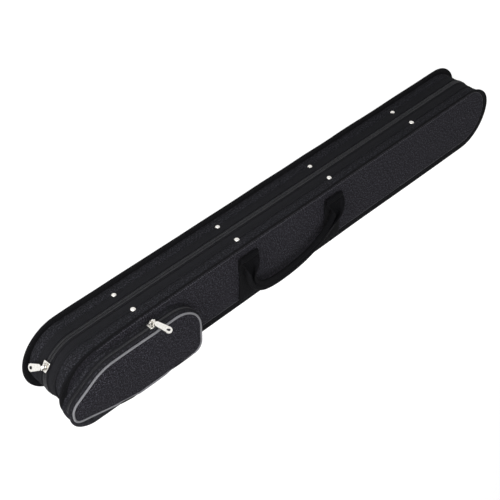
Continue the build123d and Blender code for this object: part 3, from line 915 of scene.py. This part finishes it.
# Piping: pale grey braid over a 3 mm cord, sewn into the seam round the face.
braid = ribbed_tape("pale_grey_piping_braid", "77777b", 1.2, 0.5, 0.6, 0.1, 0.3)
piping_radius = 1.35
turn = np.linspace(0, 2 * math.pi, 11)[:-1]
walk, angle = np.meshgrid(pocket_walk, turn, indexing="ij")
hidden = seam_hidden(front_line, front_out)[:, None]
points = pocket_place(
    1.2 - 1.6 * hidden + piping_radius * np.cos(angle),
    pocket_top - 1.2 - 0.9 * hidden + piping_radius * np.sin(angle),
)
points[..., 2] += 0.25 * wave_noise(walk / 18, 0 * walk, 73)
uv = np.stack([walk, angle * 1.4], -1)
piping = grid_piece("pocket_piping_cord", points, uv, braid, close_u=True, close_v=True)
weld(piping, 0.001)
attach(piping, "lid")
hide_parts("pocket_piping")

# Pocket zip: a narrow tape on each side of one closed coil, set in the wall. It leaves out the hinge side.
has_zip = pocket_line[:, 1] < 15.0
order = np.argmax(~has_zip)
rolled = np.roll(np.arange(len(pocket_line)), -order)
zipped = rolled[has_zip[rolled]]
zip_points, zip_out = pocket_line[zipped], pocket_out[zipped]
zip_walk = np.arange(len(zipped)) * 2.0
for side, z_edge, z_mid in (("lower", 71.6, 74.6), ("upper", 80.4, 77.4)):
    z = np.linspace(z_edge, z_mid, 7)
    out = np.array([-0.1, 1.1, 1.35, 1.05, 1.25, 1.3, 0.4])
    flat = zip_points[:, None] + zip_out[:, None] * out[None, :, None]
    points = np.concatenate([flat, np.broadcast_to(z, flat.shape[:2])[..., None]], -1)
    uv = np.stack(np.meshgrid(zip_walk, z, indexing="ij"), -1)
    tape = grid_piece(f"pocket_zip_tape_{side}", points, uv, zip_tape_cloth)
    weld(tape)
    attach(tape, "lid")
centre = np.concatenate([zip_points + zip_out * 0.85, np.full((len(zipped), 1), pocket_zip_z)], -1)
out = np.concatenate([zip_out, np.zeros((len(zipped), 1))], -1)
coil = coil_mesh("pocket_coil", centre, np.zeros_like(centre) + (0, 0, 1.0), out, 1.5, 4.2, 1.3, 0.7)
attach(coil, "lid")
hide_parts("pocket_zip_coil")


# Handle: 31 mm polypropylene webbing. Two straps are sewn up the lid and folded over. One loop between the
# folds has its edges folded in and sewn at the grip, and hangs towards the hinge side.
webbing = ribbed_tape("black_polypropylene_webbing", "131315", 2.0, 1.0, 0.55, 0.01, 0.01)
webbing_width = 31.0
webbing_thick = 1.7
fold_y = -27.0
fold_z = 69.0


def tube_with_ends(name, path, points, round_it, material):
    """A closed tube: a ring of points at each place of a path, and a flat end at each end of it.

    The UV map runs along the path and round the rings.
    """
    ends = [np.broadcast_to(path[k], (1,) + points.shape[1:]) for k in (0, -1)]
    points = np.concatenate([ends[0], points, ends[1]], 0)
    walk = walked(path)
    walk = np.concatenate([[0], walk, walk[-1:]])
    uv = np.stack(np.meshgrid(walk, round_it, indexing="ij"), -1)
    return weld(grid_piece(name, points, uv, material, close_v=True))


def ribbon(name, path, across, width, thick, material):
    """A strap: a path of centre points, and at each a direction across it, a width and a thickness.

    Its section is a flat rounded bar, so the mesh is a closed tube with flat ends.
    """
    path, across = np.asarray(path, float), np.asarray(across, float)
    ahead = unit(np.gradient(path, axis=0))
    across = unit(across - ahead * np.sum(across * ahead, 1, keepdims=True))
    normal = np.cross(across, ahead)
    turn = np.linspace(0, 2 * math.pi, 19)[:-1]
    flat = np.sign(np.cos(turn)) * np.abs(np.cos(turn)) ** 0.55
    deep = np.sign(np.sin(turn)) * np.abs(np.sin(turn)) ** 0.35
    width = np.broadcast_to(width, len(path))[:, None, None]
    thick = np.broadcast_to(thick, len(path))[:, None, None]
    points = path[:, None] + across[:, None] * flat[None, :, None] * width / 2
    points = points + normal[:, None] * deep[None, :, None] * thick / 2
    return tube_with_ends(name, path, points, np.cumsum(np.abs(np.gradient(flat))) * 15, material)


def smooth_path(knots, count):
    """A smooth curve through the knots: Catmull-Rom cubics, evenly stepped in the knot number."""
    knots = np.asarray(knots, float)
    padded = np.concatenate([2 * knots[:1] - knots[1:2], knots, 2 * knots[-1:] - knots[-2:-1]])
    t = np.linspace(0, len(knots) - 1 - 1e-6, count)
    k = t.astype(int)
    f = (t - k)[:, None]
    a, b, c, d = (padded[k + n] for n in range(4))
    return 0.5 * (2 * b + (c - a) * f + (2 * a - 5 * b + 4 * c - d) * f**2 + (3 * b - a - 3 * c + d) * f**3)


strap_places = {"near": 100.0, "far": -57.5}
box_stitch = 2.6
for end, x_mid in strap_places.items():
    # The strap starts under the binding, runs flat up the lid, goes over the loop's end and comes back
    # under itself.
    run = [(44.0, 66.5), (41.0, 67.6), (30.0, 67.9), (10.0, 68.0), (-10.0, 68.2), (-20.0, 69.2)]
    run += [(-25.5, 71.9), (-29.3, 71.2), (-30.3, 68.8), (-27.6, 66.9), (-20.0, 66.7), (-8.0, 66.8)]
    path = smooth_path([(x_mid, y, z) for y, z in run], 80)
    path[:, 2] += 0.15 * wave_noise(path[:, 1] / 9, 0 * path[:, 1], 81)
    across = np.zeros_like(path) + (1.0, 0, 0)
    strap = ribbon(f"handle_strap_{end}_webbing", path, across, webbing_width, webbing_thick, webbing)
    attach(strap, "lid")
    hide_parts(f"handle_strap_{end}")
    # A box of stitches with a cross in it holds the fold down.
    corners = np.array([(-12.0, -19.0), (12.0, -19.0), (12.0, -3.0), (-12.0, -3.0)])
    lines = [(corners[k], corners[(k + 1) % 4]) for k in range(4)]
    lines += [(corners[0], corners[2]), (corners[1], corners[3])]
    starts, ends = [], []
    for a, b in lines:
        steps = np.arange(0, np.linalg.norm(b - a), box_stitch)
        ahead = (b - a) / np.linalg.norm(b - a)
        for start in steps:
            for place, distance in ((starts, start), (ends, start + 1.9)):
                x, y = a + ahead * distance
                place.append((x_mid + x, y, 69.05 + 0.5 * np.clip(-(y + 10) / 9, 0, 1)))
    ups = np.zeros((len(starts), 3)) + (0, 0, 1.0)
    stitch_row(f"handle_strap_{end}_stitches", "lid", starts, ends, ups, black_thread)

tilt = math.radians(10.5)


def on_loop_plane(x, reach, lift):
    """A point of the loop from its place on the flat pattern, tilted up about the folds."""
    return (
        x,
        fold_y + reach * math.cos(tilt) - lift * math.sin(tilt),
        fold_z + reach * math.sin(tilt) + lift * math.cos(tilt),
    )


# Along the loop: x, reach and lift on that plane, and how far the webbing is folded shut.
loop_knots = [
    (100.0, 0.6, 0.0, 0.0),
    (100.4, 9.0, 0.3, 0.22),
    (101.5, 20.0, 0.6, 0.56),
    (101.0, 33.0, 0.4, 0.84),
    (96.0, 45.0, 0.0, 0.97),
    (84.0, 54.5, -0.5, 1.0),
    (67.0, 59.0, -1.0, 1.0),
    (45.0, 60.0, -1.2, 1.0),
    (20.0, 58.5, -1.2, 1.0),
    (-4.0, 54.0, -1.0, 1.0),
    (-27.0, 45.5, -0.5, 0.98),
    (-45.0, 35.5, 0.0, 0.86),
    (-55.0, 24.0, 0.6, 0.6),
    (-58.3, 11.5, 0.8, 0.25),
    (-57.5, 0.6, 0.0, 0.0),
]
loop_path = smooth_path([on_loop_plane(x, reach, lift) for x, reach, lift, shut in loop_knots], 200)
shut = np.clip(smooth_path([(shut,) for x, reach, lift, shut in loop_knots], 200), 0, 1)
loop_normal = np.array([0, -math.sin(tilt), math.cos(tilt)])
across = unit(np.cross(np.gradient(loop_path, axis=0), loop_normal))

# Half of the section, from the middle of the webbing out: a flat part, a crease, and the edge that folds
# over it.
crease_radius = 1.4
fold_angle = math.pi * shut
crease_at = webbing_width / 4 - 3.0 * shut
flap = webbing_width / 4 - 3.15 * shut
bend = fold_angle * np.linspace(0, 1, 5)
flap_share = np.array([[0.5, 1.0]])
half_x = np.concatenate(
    [
        crease_at * np.array([[0.0, 0.5]]),
        crease_at + crease_radius * np.sin(bend),
        crease_at + crease_radius * np.sin(fold_angle) + flap * np.cos(fold_angle) * flap_share,
    ],
    1,
)
half_z = np.concatenate(
    [
        0 * crease_at * flap_share,
        crease_radius * (1 - np.cos(bend)),
        crease_radius * (1 - np.cos(fold_angle)) + flap * np.sin(fold_angle) * flap_share,
    ],
    1,
)
lean = np.concatenate([0 * crease_at * flap_share, bend, fold_angle + 0 * flap_share], 1)
section_x = np.concatenate([-half_x[:, :0:-1], half_x], 1)
section_z = np.concatenate([half_z[:, :0:-1], half_z], 1) - crease_radius * shut
section_lean = np.concatenate([-lean[:, :0:-1], lean], 1)
upper_x, upper_z = -np.sin(section_lean) * webbing_thick / 2, np.cos(section_lean) * webbing_thick / 2
ring_x = np.concatenate([section_x + upper_x, (section_x - upper_x)[:, ::-1]], 1)[..., None]
ring_z = np.concatenate([section_z + upper_z, (section_z - upper_z)[:, ::-1]], 1)[..., None]
points = loop_path[:, None] + across[:, None] * ring_x + loop_normal * ring_z
round_it = np.linspace(0, 2 * webbing_width, points.shape[1])
loop = tube_with_ends("handle_loop_webbing", loop_path, points, round_it, webbing)
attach(loop, "handle_loop")
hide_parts("handle_loop")
# One row of stitches holds the folded grip along its outer side.
grip_part = slice(60, 150, 3)
starts = loop_path[grip_part] + across[grip_part] * 5.0 + loop_normal * 2.3
starts, ends = starts[:-1], starts[:-1] + 0.7 * (starts[1:] - starts[:-1])
ups = np.zeros_like(starts) + loop_normal
stitch_row("handle_grip_stitches", "handle_loop", starts, ends, ups, black_thread)
